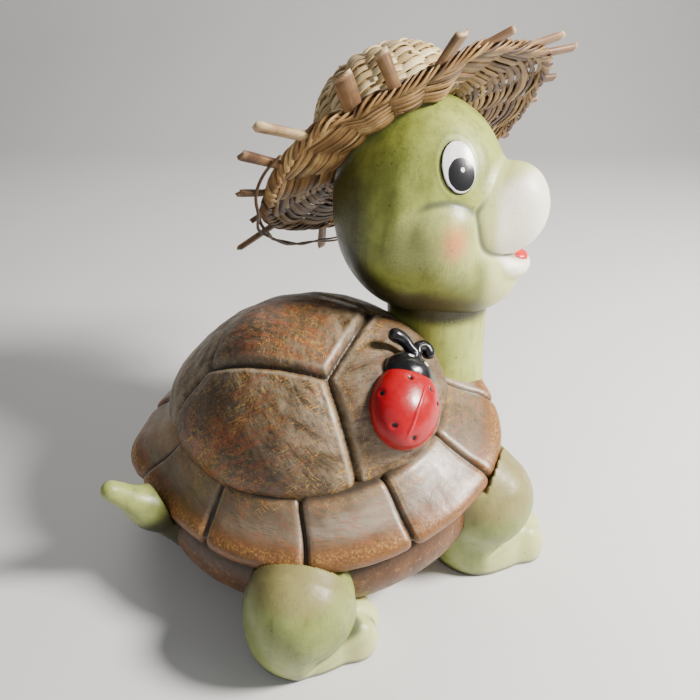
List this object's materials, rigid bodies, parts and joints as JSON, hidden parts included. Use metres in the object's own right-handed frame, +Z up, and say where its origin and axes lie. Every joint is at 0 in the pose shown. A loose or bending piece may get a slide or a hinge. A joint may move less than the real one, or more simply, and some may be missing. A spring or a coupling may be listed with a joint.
{
  "type": "turtle figurine",
  "caption": "Hollow painted-clay turtle ornament with a domed plated shell, turned head, a ladybird on its shell and a loose woven straw hat; stands on flat soles as garden or shelf decor.",
  "frame": {"origin": "middle of the bounding box at table height, where the flat soles stand", "axes": "+Z up; -Y is the way the shell points, forward; -X is the turtle's own right, the side its face is turned to and the ladybird sits on"},
  "size_m": [0.2566, 0.322, 0.3062],
  "materials": {
    "shell_paint": "satin paint, red-orange middles with ochre scratches, olive-grey edges, dark grooves",
    "rim_clay": "dark brown stained joints between the plates",
    "rim_plate_paint": "satin grey-brown with rubbed gold-ochre outer edges",
    "belly_clay": "satin terracotta orange-brown",
    "skin_paint": "satin pale green with ochre and brown shading",
    "foot_paint": "satin pale green fading to cream at the toes",
    "neck_paint": "satin pale lime-yellow",
    "head_paint": "satin olive-lime with dark speckles and coral blush on the cheeks",
    "nose_paint": "satin cream with a yellow-green bridge",
    "tongue_paint": "satin red",
    "lip_paint": "satin pale green-white",
    "eye_glaze": "gloss white with a dark painted outline",
    "pupil_glaze": "gloss black",
    "wing_case_glaze": "gloss crimson with black dimples",
    "black_glaze": "gloss black",
    "straw": "dry plaited straw, matt to silky",
    "twined_border": "twined fibre, dry",
    "splint_wood": "split wood, dry, pale and brown"
  },
  "bodies": {
    "figure": {"carapace_dome": "shell_paint", "rim_ring": "rim_clay", "marginal_plates": "rim_plate_paint", "plastron": "belly_clay", "tail": "skin_paint", "neck": "neck_paint", "head": "head_paint", "nose": "nose_paint", "tongue": "tongue_paint", "lower_lip": "lip_paint", "leg_front_right": "skin_paint", "leg_front_left": "skin_paint", "leg_rear_right": "skin_paint", "leg_rear_left": "skin_paint", "foot_front_right": "foot_paint", "foot_front_left": "foot_paint", "foot_rear_right": "foot_paint", "foot_rear_left": "foot_paint", "eye_right": "eye_glaze", "eye_left": "eye_glaze", "pupil_right": "pupil_glaze", "pupil_left": "pupil_glaze", "ladybird_wing_cases": "wing_case_glaze", "ladybird_head": "black_glaze", "ladybird_feelers": "black_glaze"},
    "hat": {"hat_crown": "straw", "hat_brim": "straw", "hat_border": "twined_border", "hat_stakes": "splint_wood"}
  },
  "joints": [
    {"name": "hat_lift", "type": "slide", "parent": "figure", "child": "hat", "axis": [0.7071, 0, 0.7071], "range_m": [0, 0.06]}
  ]
}
